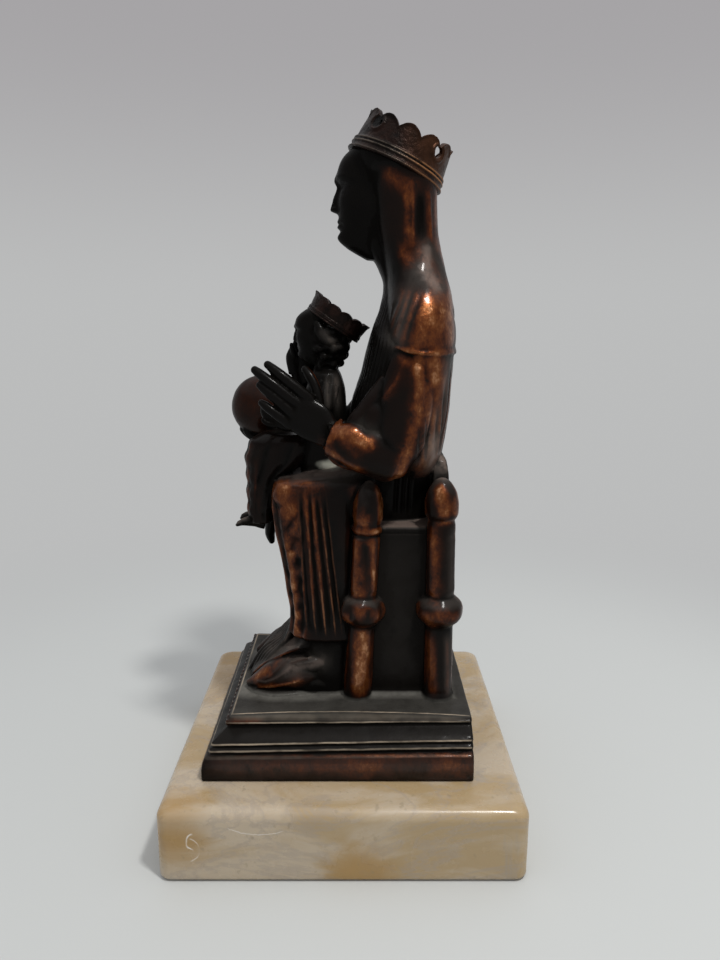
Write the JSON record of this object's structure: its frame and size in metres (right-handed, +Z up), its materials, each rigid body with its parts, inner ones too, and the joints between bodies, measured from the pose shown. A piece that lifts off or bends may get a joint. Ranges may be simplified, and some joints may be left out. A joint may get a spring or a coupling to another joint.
{
  "type": "madonna and child statuette",
  "caption": "Seated crowned madonna with the child on her lap, a dark patinated metal casting on a square veined stone base.",
  "frame": {"origin": "middle of the underside of the stone base", "axes": "+Z up, the figure faces -Y, +X towards the figure's left"},
  "size_m": [0.0972, 0.0972, 0.1989],
  "materials": {
    "stone": "polished",
    "patinated_metal": "dark patina, rubbed to red brown on the high places",
    "crown_metal": "dark brown patina"
  },
  "bodies": {
    "root": {"stone_base": "stone", "statue_casting": "patinated_metal", "mother_crown": "crown_metal", "child_crown": "crown_metal"}
  },
  "joints": []
}
